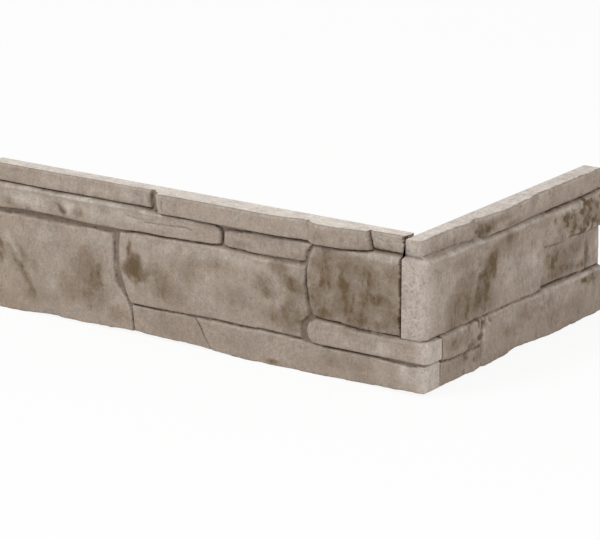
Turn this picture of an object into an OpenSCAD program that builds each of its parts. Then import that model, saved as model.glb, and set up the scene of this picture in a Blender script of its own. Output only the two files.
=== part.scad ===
// Corner piece of stone-look wall cladding, cast in tinted concrete.
// Two castings meet in a finger joint: the long panel's low courses run out to
// the corner, and the short panel's high courses run over them.
// Origin: foot of the inner corner, where the two flat backs meet.
// The long leg runs to -X and faces -Y, the short leg runs to +Y and faces +X.

/* [Panels] */
// Length of the long panel's back, from the inner corner
long_len = 328; // [310:1:400]
// Length of the short panel's back, from the inner corner
short_len = 208; // [202:1:260]
// Height of the long panel
long_h = 100; // [97:0.5:108]
// Height of the short panel, which was struck a little lower
short_h = 98.4; // [95:0.2:106]
// Thickness of the cast body at the bottom of the joints
slab_t = 8; // [5:0.5:9]

/* [Courses] */
// Height of the bed under the long panel's top course
top_bed = 87.4; // [86:0.1:89]
// Height of the bed under the long panel's thin second course
mid_bed = 71; // [69.5:0.1:73]
// Height at which the short panel's high courses sit on the long panel's finger
finger_h = 35.5; // [34:0.1:37.5]
// Height of the bed over the long panel's bottom course
low_bed = 21.2; // [20:0.1:22.5]
// Height of the bed under the short panel's top course
short_top_bed = 85.6; // [84.5:0.1:87]
// Height of the bed inside the short panel's end, under its rough stone
rough_bed = 60.6; // [58:0.1:63]
// Height of the bed over the short panel's corner foot stone
toe_bed = 17; // [15.5:0.1:19]

/* [Corner] */
// Open seam between the long panel's end and the short panel's back
seam_w = 0.9; // [0.4:0.1:1.4]
// Play where one casting is seated against the other
seat_gap = 0.3; // [0.1:0.05:0.5]
// Reach of the long panel's middle finger stone past the inner corner
ledge_reach = 20.5; // [18:0.1:23]
// Reach of the long panel's bottom finger stone past the inner corner
foot_reach = 19; // [17:0.1:22]
// Reach of the short panel's big corner stone past the inner corner
head_reach = 15; // [13:0.1:17]
// Reach of the short panel's top corner stone past the inner corner
cap_reach = 10.8; // [9.5:0.1:12.5]

/* [Stones] */
// Width of the joints between stones
joint_w = 1.2; // [0.8:0.1:1.8]
// Rounding of the stones' edges
edge_r = 1.6; // [0.8:0.1:2]
// Rounding of the worn stone that caps the corner
worn_r = 3; // [2:0.1:4]
// Rounding of the arris on the stones that turn the corner
arris_r = 2.6; // [1.6:0.1:4]
// Unevenness of the stone faces
wave_h = 0.45; // [0:0.05:0.7]
// Unevenness of the hackled stone faces
hackle_h = 0.85; // [0:0.05:1.1]
// Width of the open cracks
crack_w = 1.6; // [1:0.1:2.4]
// Depth of the open cracks
crack_d = 1.3; // [0.6:0.1:2]

/* [Hidden] */
half = joint_w / 2;
// Distance between the worked sections along a stone
pitch = 8;
// How far the body behind the stones stays inside their outline
inset = 1.3;
// Height at which that body starts, above the wavy foot of the bottom stones
foot_z = 4;
// How far it stays back from the end of the bottom finger stone, and of the top corner stone
finger_setback = 4;
cap_setback = 3;

// Wavy foot of the long panel, as distance along the leg and height
long_foot = [
    [-ledge_reach, 2.4], [-6, 2.3], [9, 1.3], [31, 1], [54, 0], [124, 0],
    [140, 0.5], [155, 2.2], [180, 2], [212, 2.4], [246, 1.5], [278, 1.6], [304, 0], [long_len, 0]
];
// Wavy foot of the short panel
short_foot = [
    [-head_reach, 1.8], [22, 1.6], [47, 0.7], [52, 1.6], [62, 0.4], [78, 0.4], [88, 0.8], [97, 2.8],
    [115, 1.4], [140, 0.4], [162, 0], [short_len, 0]
];

function lerp(a, b, f) = a + (b - a) * f;
// Value of a list of [position, value] pairs at position x
function along(list, x, i = 0) =
    i >= len(list) - 2 || x <= list[i + 1][0]
        ? lerp(list[i][1], list[i + 1][1], (x - list[i][0]) / (list[i + 1][0] - list[i][0]))
        : along(list, x, i + 1);

// A stone is given by keys: [u at its lower edge, u at its upper edge, lower z,
// upper z, depth of its face, bow of its end]. Sections between them follow.
function centre(key) = (key[0] + key[1]) / 2;
function filled(key) = [for (c = [0:5]) is_undef(key[c]) ? 0 : key[c]];
function section(keys, m, i = 0) =
    i >= len(keys) - 2 || m <= centre(keys[i + 1])
        ? lerp(filled(keys[i]), filled(keys[i + 1]),
               (m - centre(keys[i])) / (centre(keys[i + 1]) - centre(keys[i])))
        : section(keys, m, i + 1);
// How far a rounded edge has fallen away at distance s from it
function fall(s, r) = s >= r ? 0 : r - sqrt(r * r - (r - s) * (r - s));
// Slow waves over a stone's face, different for each seed
function wave(u, z, seed) =
    0.6 * sin(8.5 * u + 5 * z + 137 * seed)
    + 0.4 * sin(19 * u - 14 * z + 71 * seed)
    + 0.3 * sin(31 * u + 29 * z + 23 * seed);
// Positions of the worked sections from one end of a stone to the other
function stations(a, b, r0, r1) =
    let (n = max(1, round((b - a - r0 - r1) / pitch)))
    concat(
        r0 > 0 ? [a, a + 0.3 * r0] : [],
        [for (i = [0:n]) lerp(a + r0, b - r1, i / n)],
        r1 > 0 ? [b - 0.3 * r1, b] : []);
// Heights of the points across a stone's face
function rows(lo, hi, r) =
    [lo, lo + 0.3 * r, lo + r, lerp(lo, hi, 0.36), lerp(lo, hi, 0.64), hi - r, hi - 0.3 * r, hi];

// One stone, as deep as the casting. ends gives the rounding of its near and far
// end, 0 for a cut end.
module stone(keys, seed, ends = [edge_r, edge_r], r = edge_r, rough = wave_h) {
    near = centre(keys[0]);
    far = centre(keys[len(keys) - 1]);
    us = stations(near, far, ends[0], ends[1]);
    points = [
        for (m = us)
            let (
                s = section(keys, m),
                zs = rows(s[2], s[3], r),
                tip = fall(m - near, ends[0]) + fall(far - m, ends[1]),
                slant = function(z) let (v = (z - s[2]) / (s[3] - s[2]))
                    lerp(s[0], s[1], v) + 4 * s[5] * v * (1 - v)
            )
            each concat(
                [[slant(s[2]), 0, s[2]]],
                [for (z = zs)
                    [slant(z),
                     s[4] + rough * wave(m, z, seed) - tip - fall(min(z - s[2], s[3] - z), r),
                     z]],
                [[slant(s[3]), 0, s[3]]])
    ];
    k = 10;
    n = len(us);
    polyhedron(points, concat(
        [[for (j = [0:k - 1]) j]],
        [[for (j = [k - 1:-1:0]) (n - 1) * k + j]],
        [for (i = [0:n - 2], j = [0:k - 1])
            [i * k + j, (i + 1) * k + j, (i + 1) * k + (j + 1) % k]],
        [for (i = [0:n - 2], j = [0:k - 1])
            [i * k + j, (i + 1) * k + (j + 1) % k, i * k + (j + 1) % k]]
    ), convexity = 6);
}

// A straight crack from one point [u, z] to another in a face at depth t
module crack(from, to, t) {
    hull()
        for (p = [from, to])
            translate([p[0], t + crack_d, p[1]])
                rotate([90, 0, 0])
                    cylinder(d1 = 2 * crack_w, d2 = crack_w / 4, h = 2 * crack_d, $fn = 6);
}

// The body behind the stones: a plate that closes the bottoms of the joints. It
// starts at one place below step_z and at another above it.
module plate(low_start, step_z, high_start, length, top) {
    rotate([90, 0, 0])
        mirror([0, 0, 1])
            linear_extrude(slab_t)
                polygon([
                    [low_start, foot_z], [length - inset, foot_z], [length - inset, top - inset],
                    [high_start, top - inset], [high_start, step_z], [low_start, step_z]
                ]);
}

// Stones of the long panel, in leg coordinates: u away from the corner, depth, z
module long_top_course() {
    stone([
        [195.2, 193.6, top_bed + half, long_h, 11.4], [237, 237, top_bed + half, long_h, 11.8],
        [278, 278, top_bed + half, long_h, 12.5], [long_len, long_len, top_bed + half, long_h, 12.2]
    ], 1, ends = [edge_r, 0]);
    stone([
        [24, 27.2, top_bed + 1, long_h, 14.8], [32, 33, top_bed, long_h, 16],
        [45, 45, top_bed - 0.6, long_h, 18.8], [62, 62, top_bed - 0.7, long_h, 20],
        [66, 66, top_bed - 0.6, long_h, 18.6], [71, 71, top_bed - 0.5, long_h, 14.6],
        [77, 77, top_bed - 0.4, long_h, 14.4], [90, 90, top_bed - 0.4, long_h, 17.4],
        [104, 104, top_bed - 0.1, long_h, 18.4], [136, 136, top_bed - 0.4, long_h, 17.8],
        [170, 170, top_bed - 0.2, long_h, 17.6], [189.6, 191.8, top_bed, long_h, 18.6]
    ], 2);
    stone([
        [seam_w, seam_w, top_bed + 1, long_h, 10.6], [14, 14, top_bed + 1.2, long_h, 11.2],
        [22.8, 26, top_bed + 1.8, long_h, 11.8]
    ], 3, ends = [0.4, edge_r]);
}

module long_second_course() {
    stone([
        [140, 146, mid_bed + 2.2, top_bed - 1.8, 13.6], [147, 151, mid_bed + 1.6, top_bed - 1.6, 14.8],
        [170, 171, mid_bed + 1.2, top_bed - 1.5, 15.4], [195, 195, mid_bed + 0.7, top_bed - 1.2, 15.5],
        [214, 214, mid_bed, top_bed - half, 15.3], [251, 251, mid_bed, top_bed - half, 15.8],
        [278, 278, mid_bed + 0.6, top_bed - 0.9, 15], [300, 300, mid_bed + 0.6, top_bed - half, 15.2],
        [long_len, long_len, mid_bed - 1, top_bed - half, 15.6]
    ], 4, ends = [edge_r, 0]);
    stone([
        [75, 71, mid_bed + 1.2, top_bed - 3, 12.6], [81, 79, mid_bed + 1, top_bed - 2.3, 13.4],
        [97, 97, mid_bed + 0.8, top_bed - 2.5, 13.8], [113, 113, mid_bed + 0.6, top_bed - 2.3, 13.5],
        [123, 123, mid_bed + 1.4, top_bed - 3.4, 13.6],
        [132.6, 132, mid_bed + 1.2, top_bed - 3.9, 13.2],
        [137, 136.6, mid_bed + 2.2, top_bed - 4.8, 12.6]
    ], 5);
}

module long_main_course() {
    stone([
        [211.5, 226, along(long_foot, 212), mid_bed - 5.4, 12.4, 6],
        [222, 236, along(long_foot, 222), mid_bed - 4.8, 13.2, 3],
        [246, 250, along(long_foot, 246), mid_bed - 4, 13.6, 0],
        [278, 278, along(long_foot, 278), mid_bed - 5, 13.8],
        [304, 304, along(long_foot, 304), mid_bed - 3.8, 13.5],
        [long_len, long_len, along(long_foot, long_len), mid_bed - 5.4, 13.8]
    ], 6, ends = [edge_r, 0]);
    stone([
        [76, 76, low_bed + 1.4, mid_bed - 1, 14.2, -4.5],
        [84, 84, low_bed + 1.4, mid_bed - 1.4, 15, -2], [100, 100, low_bed + 1.8, mid_bed - 1.6, 15.4],
        [122, 122, low_bed + 1, mid_bed - 1, 15], [141, 141, low_bed + 1.4, mid_bed - 0.2, 14.6],
        [170, 170, low_bed + 0.8, mid_bed - 0.4, 14.4], [196, 196, low_bed + half, mid_bed - 1, 15],
        [208, 213, low_bed + half, mid_bed - 1.6, 14.8, 1.5],
        [211.5, 221, low_bed + 0.8, mid_bed - 2, 13.8, 3.5]
    ], 7);
    stone([
        [seam_w, seam_w, finger_h + half, top_bed - 0.4, 14.7],
        [19, 19, finger_h + 0.4, top_bed - half, 15.2], [32, 32, finger_h + half, top_bed - 1.4, 15.6],
        [47, 47, finger_h + 2, top_bed - 1.8, 15.2, 1], [57, 58, finger_h + 2.3, top_bed - 2, 15, 4],
        [64.5, 66.5, finger_h + 2.6, top_bed - 2.6, 13.8, 6.5]
    ], 8, ends = [0.5, edge_r], rough = hackle_h);
}

module long_low_courses() {
    finger_top = finger_h - seat_gap;
    stone([
        [-ledge_reach, -ledge_reach, low_bed + 0.7, finger_top, 18],
        [-8, -8, low_bed + half, finger_top, 18.6], [0, 0, low_bed + half, finger_top, 18.2],
        [6, 6, low_bed + half, finger_top - 0.4, 18], [32, 32, low_bed, finger_top - 0.6, 17.6],
        [47, 47, low_bed, finger_top + 1.2, 17.4], [61, 60, low_bed - 0.4, finger_top + 1.4, 17],
        [69, 66.5, low_bed - 0.4, finger_top + 1.4, 15.8, 2]
    ], 9, ends = [arris_r, edge_r]);
    stone([
        [146.8, 159.8, along(long_foot, 146), low_bed - 0.7, 13.8],
        [168, 174, along(long_foot, 170), low_bed - half, 13.9],
        [190, 190, along(long_foot, 190), low_bed - 0.8, 13.6],
        [209, 210.6, along(long_foot, 210), low_bed - 0.8, 13]
    ], 10);
    stone([
        [-foot_reach, -foot_reach, along(long_foot, -foot_reach), low_bed - 1.8, 17],
        [-8, -8, along(long_foot, -8), low_bed - 2.6, 17],
        [6, 6, along(long_foot, 6), low_bed - 2.4, 16.4],
        [19, 19, along(long_foot, 19), low_bed - 1.4, 15.8],
        [40, 40, along(long_foot, 40), low_bed - 1.6, 15.4],
        [54, 54, along(long_foot, 54), low_bed - 1.7, 15.2],
        [78, 78, along(long_foot, 78), low_bed - 0.4, 15],
        [100, 100, along(long_foot, 100), low_bed + half, 15.4],
        [124, 124, along(long_foot, 124), low_bed - 0.4, 15],
        [135, 140, along(long_foot, 138), low_bed, 14.8],
        [145.8, 158.8, along(long_foot, 146), low_bed - 0.4, 14.4]
    ], 11, ends = [arris_r, edge_r]);
}

module long_cracks() {
    crack([150, 81.6], [162, 82.4], 15.4);
    crack([168, 80.8], [186, 80], 15.4);
    crack([200, 82], [214, 81], 15.4);
    crack([263, 83], [270, 77.4], 15.4);
    crack([318, 62], [311, 51], 14);
    crack([307, 46], [299, 32], 14);
    crack([300, 57], [295, 47], 13.8);
    crack([240, 51], [234, 38], 13.8);
}

// Stones of the short panel, in leg coordinates
module short_top_course() {
    stone([
        [-cap_reach, -cap_reach, short_top_bed + 2.4, short_h, 12.2],
        [14, 14, short_top_bed + 1.8, short_h, 11.6], [32, 32, short_top_bed + 1.4, short_h, 12.2],
        [43, 43, short_top_bed + 1.2, short_h, 14], [51.4, 50.8, short_top_bed + 0.9, short_h, 12.6]
    ], 12, ends = [arris_r, edge_r], r = worn_r);
    stone([
        [52.2, 51.7, short_top_bed + 0.4, short_h, 11.6], [56, 56, short_top_bed, short_h, 11.8],
        [61, 61, short_top_bed - 0.4, short_h, 14.4], [90, 90, short_top_bed, short_h, 15.6],
        [116, 116, short_top_bed, short_h, 14.4], [130, 130, short_top_bed - 0.8, short_h, 13.2],
        [156, 156, short_top_bed - 1, short_h, 13.2], [180, 180, short_top_bed - 0.8, short_h, 13.8],
        [short_len, short_len, short_top_bed - 0.6, short_h, 13.2]
    ], 13, ends = [edge_r, 0]);
}

module short_main_course() {
    stone([
        [-head_reach, -head_reach, finger_h, short_top_bed + 1.2, 17.2],
        [9, 9, finger_h, short_top_bed + 0.4, 16.8], [39, 39, finger_h, short_top_bed, 16.6],
        [60, 60, finger_h - 0.1, short_top_bed - 1, 16.8],
        [80, 80, finger_h - 0.5, short_top_bed - 1.8, 16.6],
        [105, 105, finger_h - 1, short_top_bed - 1.5, 16.2],
        [120, 122, finger_h - 1.8, short_top_bed - 2.2, 16, 1],
        [128.6, 133.2, finger_h - 1.8, short_top_bed - 2.8, 15, 2.2]
    ], 14, ends = [arris_r, edge_r]);
    stone([
        [134.4, 134.8, rough_bed + 1, short_top_bed - 2.8, 14.8],
        [139, 139, rough_bed + half, short_top_bed - 2.4, 16],
        [153, 153, rough_bed - 0.4, short_top_bed - 2.2, 17],
        [162, 162, rough_bed + 1.9, short_top_bed - 2, 17.2],
        [168, 168, rough_bed + 1.5, short_top_bed - 2, 17.4],
        [183, 183, rough_bed - 0.6, short_top_bed - 2, 17.2],
        [189, 189, rough_bed + half, short_top_bed - 1.8, 17],
        [short_len, short_len, rough_bed, short_top_bed - 1.6, 17]
    ], 15, ends = [edge_r, 0], rough = hackle_h);
    stone([
        [131.4, 133.6, finger_h - 1.2, rough_bed - 1, 11.8],
        [158, 158, finger_h - 1.5, rough_bed - 1.4, 12.6],
        [172, 172, finger_h - 2, rough_bed + 0.2, 12.8],
        [192, 192, finger_h - 2.6, rough_bed - 1, 12.4],
        [short_len, short_len, finger_h - 3.2, rough_bed - 1.2, 12.4]
    ], 16, ends = [edge_r, 0]);
}

module short_low_courses() {
    stone([
        [seat_gap, seat_gap, toe_bed + 2.6, finger_h - joint_w, 18.4],
        [10, 10, toe_bed + 1.4, finger_h - joint_w, 18],
        [17, 17, toe_bed + 0.2, finger_h - joint_w, 17.8],
        [45, 45, toe_bed - 0.4, finger_h - joint_w, 17.4],
        [51.6, 52, toe_bed - 0.2, finger_h - joint_w, 16.8]
    ], 17, ends = [0.5, edge_r]);
    stone([
        [seat_gap, seat_gap, along(short_foot, 0), toe_bed + 1.4, 17.4],
        [10, 10, along(short_foot, 10), toe_bed + 0.2, 17.2],
        [17, 17, along(short_foot, 17), toe_bed - 1, 17],
        [45, 45, along(short_foot, 45), toe_bed - 1.6, 17],
        [51.8, 51.8, along(short_foot, 52), toe_bed - 1.4, 16.4]
    ], 18, ends = [0.5, edge_r]);
    stone([
        [52.5, 52.9, along(short_foot, 52), finger_h - 1.5, 16.6],
        [60, 60, along(short_foot, 61), finger_h - 1.3, 16.6],
        [80, 80, along(short_foot, 80), finger_h - 1.7, 16],
        [97, 97, along(short_foot, 97), finger_h - 2.1, 15.8],
        [105, 105, along(short_foot, 105), finger_h - 2.2, 16],
        [122, 122, along(short_foot, 122), finger_h - 3, 16.2],
        [140, 140, along(short_foot, 140), finger_h - 2.4, 16.4],
        [162, 162, along(short_foot, 162), finger_h - 2.8, 16.2],
        [192, 192, along(short_foot, 192), finger_h - 3.8, 16],
        [short_len, short_len, along(short_foot, short_len), finger_h - 4.4, 16]
    ], 19, ends = [edge_r, 0]);
}

module short_cracks() {
    crack([198, 54], [197.2, 46], 12.6);
    crack([198.4, 42], [197.6, 35.5], 12.6);
    crack([158, 79], [163, 72], 17.2);
    crack([170, 74], [173, 66], 17.2);
    crack([180, 79], [178, 71], 17.2);
    crack([187, 73], [190, 64.5], 17.2);
    crack([196, 79], [199, 70], 17.2);
    crack([30, 10], [36, 5], 17);
}

module long_panel() {
    color([0.65, 0.61, 0.56])
        rotate([0, 0, 180])
            difference() {
                union() {
                    plate(
                        finger_setback - foot_reach, finger_h - seat_gap - inset, seam_w + inset,
                        long_len, long_h);
                    long_top_course();
                    long_second_course();
                    long_main_course();
                    long_low_courses();
                }
                long_cracks();
            }
}

module short_panel() {
    color([0.58, 0.53, 0.48])
        rotate([0, 0, 90])
            mirror([0, 1, 0])
                difference() {
                    union() {
                        plate(
                            seat_gap + inset, finger_h + inset, cap_setback - cap_reach,
                            short_len, short_h);
                        short_top_course();
                        short_main_course();
                        short_low_courses();
                    }
                    short_cracks();
                }
}

long_panel();
short_panel();
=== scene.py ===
# Corner piece of stone-look wall cladding: two castings of tinted concrete that meet
# in a finger joint, standing on a white studio floor. +Z is up, the long leg runs to
# -X and faces -Y, the short leg runs to +Y and faces +X. Both panels are worked out in
# mm, as distance from the inner corner, depth in front of the wall, and height.
import math
import bmesh
import bpy
import numpy as np
from mathutils import Matrix, Vector


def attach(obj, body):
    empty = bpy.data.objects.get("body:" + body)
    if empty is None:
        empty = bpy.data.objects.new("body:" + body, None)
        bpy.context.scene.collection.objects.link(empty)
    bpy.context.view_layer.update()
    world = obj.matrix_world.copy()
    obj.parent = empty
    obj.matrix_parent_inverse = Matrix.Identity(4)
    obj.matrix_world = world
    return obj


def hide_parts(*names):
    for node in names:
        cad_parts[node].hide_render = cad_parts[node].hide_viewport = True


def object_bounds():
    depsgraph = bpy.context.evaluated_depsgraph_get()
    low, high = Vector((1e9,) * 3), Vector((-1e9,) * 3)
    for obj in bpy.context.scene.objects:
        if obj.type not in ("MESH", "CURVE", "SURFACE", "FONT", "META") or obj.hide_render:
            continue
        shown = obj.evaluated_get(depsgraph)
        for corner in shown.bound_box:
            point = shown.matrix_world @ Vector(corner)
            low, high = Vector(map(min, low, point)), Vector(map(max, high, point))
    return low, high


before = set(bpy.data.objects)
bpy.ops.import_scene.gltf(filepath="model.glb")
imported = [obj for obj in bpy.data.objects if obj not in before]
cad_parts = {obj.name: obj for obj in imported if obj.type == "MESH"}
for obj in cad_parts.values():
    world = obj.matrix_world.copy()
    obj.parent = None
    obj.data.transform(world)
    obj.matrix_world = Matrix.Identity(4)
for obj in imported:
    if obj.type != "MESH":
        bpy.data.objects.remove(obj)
cad_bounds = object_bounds()
scene = bpy.context.scene
scene.view_settings.view_transform = "Standard"


# Camera: a long lens 2.2 m away, a little above the piece and to the right of the
# long face's middle, so that both faces and the pale top show.
azimuth = math.radians(34.52)
elevation = math.radians(16.43)
distance = 2.199
backward = Vector((
    math.sin(azimuth) * math.cos(elevation),
    -math.cos(azimuth) * math.cos(elevation),
    math.sin(elevation),
))
rightward = Vector((math.cos(azimuth), math.sin(azimuth), 0.0))
upward = backward.cross(rightward)
left_of_corner = 0.07127
over_middle = 0.02509
aim = Vector((0.0, 0.0, 0.05)) - left_of_corner * rightward + over_middle * upward
lens = bpy.data.cameras.new("camera")
lens.lens = 211.8
lens.sensor_width = 36.0
lens.clip_end = 50.0
camera = bpy.data.objects.new("camera", lens)
camera.matrix_world = Matrix.Translation(aim + distance * backward) @ Matrix((
    (rightward.x, upward.x, backward.x, 0.0),
    (rightward.y, upward.y, backward.y, 0.0),
    (rightward.z, upward.z, backward.z, 0.0),
    (0.0, 0.0, 0.0, 1.0),
))
scene.collection.objects.link(camera)
scene.camera = camera


# Studio: a white floor that keeps a faint shadow, a white room, and two soft boxes,
# the larger one high on the left of the camera.
def shown_white(nodes, links):
    """1 for a ray from the camera or one seen in gloss or through glass, and 0 for
    the rays that light the piece: the greatest of the light path's three flags."""
    path = nodes.new("ShaderNodeLightPath")
    flag = path.outputs["Is Camera Ray"]
    for other in ("Is Glossy Ray", "Is Transmission Ray"):
        greater = nodes.new("ShaderNodeMath")
        greater.operation = "MAXIMUM"
        links.new(flag, greater.inputs[0])
        links.new(path.outputs[other], greater.inputs[1])
        flag = greater.outputs[0]
    return flag


floor_half = 9.0
floor_mesh = bpy.data.meshes.new("floor")
floor_mesh.from_pydata(
    [(-floor_half, -floor_half, 0.0), (floor_half, -floor_half, 0.0),
     (floor_half, floor_half, 0.0), (-floor_half, floor_half, 0.0)],
    [], [(0, 1, 2, 3)])
floor = bpy.data.objects.new("floor", floor_mesh)
scene.collection.objects.link(floor)

white = bpy.data.materials.new("studio_white")
white.use_nodes = True
nodes, links = white.node_tree.nodes, white.node_tree.links
nodes.clear()
paint = nodes.new("ShaderNodeBsdfDiffuse")
paint.inputs["Color"].default_value = (0.95, 0.95, 0.95, 1.0)
glow = nodes.new("ShaderNodeEmission")
glow.inputs["Color"].default_value = (1.0, 1.0, 1.0, 1.0)
share = nodes.new("ShaderNodeMath")
share.operation = "MULTIPLY"
share.inputs[1].default_value = 0.9
mix = nodes.new("ShaderNodeMixShader")
out = nodes.new("ShaderNodeOutputMaterial")
links.new(shown_white(nodes, links), share.inputs[0])
links.new(share.outputs[0], mix.inputs[0])
links.new(paint.outputs[0], mix.inputs[1])
links.new(glow.outputs[0], mix.inputs[2])
links.new(mix.outputs[0], out.inputs["Surface"])
floor_mesh.materials.append(white)

room = bpy.data.worlds.new("studio_room")
room.use_nodes = True
nodes, links = room.node_tree.nodes, room.node_tree.links
nodes.clear()
lit = nodes.new("ShaderNodeBackground")
lit.inputs["Strength"].default_value = 0.62
lit.inputs["Color"].default_value = (1.0, 0.99, 0.975, 1.0)
seen = nodes.new("ShaderNodeBackground")
seen.inputs["Strength"].default_value = 1.0
seen.inputs["Color"].default_value = (1.0, 1.0, 1.0, 1.0)
mix = nodes.new("ShaderNodeMixShader")
out = nodes.new("ShaderNodeOutputWorld")
links.new(shown_white(nodes, links), mix.inputs[0])
links.new(lit.outputs[0], mix.inputs[1])
links.new(seen.outputs[0], mix.inputs[2])
links.new(mix.outputs[0], out.inputs["Surface"])
scene.world = room

for name, place, width, power in (
        ("key_box", (-0.9, -1.5, 1.9), 0.9, 22.0),
        ("side_box", (1.9, -0.5, 1.1), 0.8, 7.0)):
    lamp = bpy.data.lights.new(name, "AREA")
    lamp.shape = "SQUARE"
    lamp.size = width
    lamp.energy = power
    box = bpy.data.objects.new(name, lamp)
    box.location = place
    towards = Vector((-0.1, 0.0, 0.05)) - box.location
    box.rotation_euler = towards.to_track_quat("-Z", "Y").to_euler()
    scene.collection.objects.link(box)


# Long panel: one casting of tinted concrete, taken from a mould of stacked stones,
# 328 mm along its back. Its two low courses run past the inner corner as fingers.
def noise(x, y, seed):
    """Smooth noise from -1 to 1. Each whole-numbered point gets a value from its
    place and the seed, stirred with large odd numbers and shifts, and a point between
    blends the four values round it with the weight 3t^2 - 2t^3 both ways."""
    i, j = np.floor(x).astype(np.int64), np.floor(y).astype(np.int64)
    tx, ty = x - i, y - j

    def corner(a, b):
        h = (a * 374761393 + b * 668265263 + seed * 1274126177) & 0xFFFFFFFF
        h = ((h ^ (h >> 13)) * 1103515245) & 0xFFFFFFFF
        return ((h ^ (h >> 16)) & 0xFFFFFF) / 0x7FFFFF - 1.0

    wx, wy = tx * tx * (3 - 2 * tx), ty * ty * (3 - 2 * ty)
    low = corner(i, j) * (1 - wx) + corner(i + 1, j) * wx
    high = corner(i, j + 1) * (1 - wx) + corner(i + 1, j + 1) * wx
    return low * (1 - wy) + high * wy


def layered(x, y, size, seed, layers=4, gain=0.5):
    """Rough ground: a sum of noise layers, each half the size of the last and lower
    by the gain, divided by the sum of their heights."""
    total, height, reach = 0.0, 1.0, 0.0
    for n in range(layers):
        total = total + height * noise(x / size + 17.3 * n, y / size - 9.1 * n, seed + n)
        reach += height
        height *= gain
        size *= 0.5
    return total / reach


def rounded(s, r, slope=3.5):
    """Drop of a rounded edge: r - sqrt(r^2 - (r-s)^2) at distance s inside the edge,
    nothing beyond r, and outside the edge a slope of so many to 1."""
    q = np.clip(r - s, 0, r)
    return r - np.sqrt(np.maximum(r * r - q * q, 0)) + slope * np.maximum(-s, 0)


def stone_face(u, z, stone, seed):
    """A stone's plain face over the grid, the drop of its edges, and the distance
    inside its edge. The stone's keys [u low, u high, z low, z high, depth, bow] are
    interpolated over the distance m along it; m is u less the slant and bow of the end
    at that height, found in three rounds. The face is the keys' depth plus the sum of
    four layered noises. Its rounded edges drop by the circle's formula and meet in a
    round corner. A line of (height, u) points can stand for either end, and a nose is
    a wide round at the low end."""
    keys = np.array([k + [0.0] * (6 - len(k)) for k in stone["keys"]])
    middle = (keys[:, 0] + keys[:, 1]) / 2
    m = u.copy()
    for _ in range(3):
        u_low, u_high, z_low, z_high, key_depth, bow = (
            np.interp(m, middle, keys[:, c]) for c in range(6))
        v = np.clip((z - z_low) / (z_high - z_low), 0, 1)
        slant = u_low + (u_high - u_low) * v + 4 * bow * v * (1 - v)
        m = u - (slant - np.clip(m, middle[0], middle[-1]))
    ragged = stone.get("ragged", 0.35)
    wander = ragged * layered(u, z, 9.0, seed * 7 + 1, 4, 0.6)
    r = stone.get("edge", 1.6)
    near, far = stone.get("near", r), stone.get("far", r)
    along = np.full_like(u, 1e3)
    if near:
        along = np.minimum(along, (m - middle[0] + wander) * r / near)
    if far:
        along = np.minimum(along, (middle[-1] - m + wander) * r / far)
    for side, line in ((1, stone.get("near_line")), (-1, stone.get("far_line"))):
        if line:
            heights, ends = np.array(line).T
            along = np.minimum(along, side * (u - np.interp(z, heights, ends)) + wander)
    head = z_high - z + (0 if stone.get("flat_head") else wander)
    across = np.minimum(z - z_low + wander, head)
    inside = r - np.hypot(np.maximum(r - along, 0), np.maximum(r - across, 0))
    # Broad swells, small lumps, coarse sand, and fine slanting ripples
    face = key_depth + stone.get("lump", 0.5) * (
        0.75 * layered(u + 40 * seed, z, 26.0, seed * 7 + 2, 2)
        + 0.5 * layered(u, z, 9.0, seed * 7 + 3, 3)
        + 0.22 * layered(u, z, 2.6, seed * 7 + 4, 2)
        + 0.4 * layered(u + 0.35 * z, (z - 0.35 * u) / 4, 3.4, seed * 7 + 6, 2))
    if stone.get("nose"):
        face = face - rounded(m - middle[0] + 0.3 * wander, stone["nose"])
    if stone.get("layers"):
        face = face + stone["layers"] * layered(u / 9, z + 0.04 * u, 2.2, seed * 7 + 5, 3)
    return face, rounded(inside, r, stone.get("slope", 3.5)), inside


def carved(u, z, stones, bed):
    """Depth over the grid: the highest of all the stones' faces, or in the joints a
    floor that lies the bed's depth below the faces round it. Those are averaged with
    the weight 1/(0.3 + distance)^3. Also gives the distance inside the nearest edge."""
    level, weight = 0.0, 0.0
    depth, inside = np.zeros_like(u), np.full_like(u, -9.0)
    for n, stone in enumerate(stones):
        face, drop, s = stone_face(u, z, stone, n + 1)
        near = (0.3 + np.maximum(-s, 0)) ** -3.0
        level, weight = level + near * (face - stone.get("bed", bed)), weight + near
        depth, inside = np.maximum(depth, face - drop), np.maximum(inside, s)
    floor = level / weight + 0.4 * layered(u, z, 3.0, 900, 2)
    return np.maximum(depth, floor), inside


def local_mean(depth, axes=(0, 1)):
    """Mean of five neighbours along each of the axes, with the edge repeated."""
    mean = depth
    for axis in axes:
        padded = np.pad(mean, [(2, 2) if axis == n else (0, 0) for n in (0, 1)], mode="edge")
        mean = sum(np.take(padded, np.arange(k, k + depth.shape[axis]), axis) for k in range(5)) / 5
    return mean


def sunk(depth, axes=(0, 1)):
    """From 0 to 1, how far a point lies below the mean of its neighbours."""
    return np.clip((local_mean(depth, axes) - depth - 0.25) / 1.05, 0, 1)


def hollow(depth, inside, axes=(0, 1)):
    """Dirt and painted shade in the joints and hollows: as much as a point is sunk, and at
    least a half on the floor of the wide joints, outside all the stones' edges."""
    return np.maximum(sunk(depth, axes), 0.5 * np.clip((-0.3 - inside) / 0.6, 0, 1))


def crest_wear_and_highlight(depth):
    """Upper edges, lighter by wear and by a painted highlight where the light from above
    catches them: how far a point stands above the mean of its neighbours, where the surface falls back
    towards the top."""
    falling = np.clip(-np.gradient(local_mean(depth), axis=1) / 0.15, 0, 1)
    return falling * np.clip((depth - local_mean(depth) - 0.05) / 0.35, 0, 1)


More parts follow.
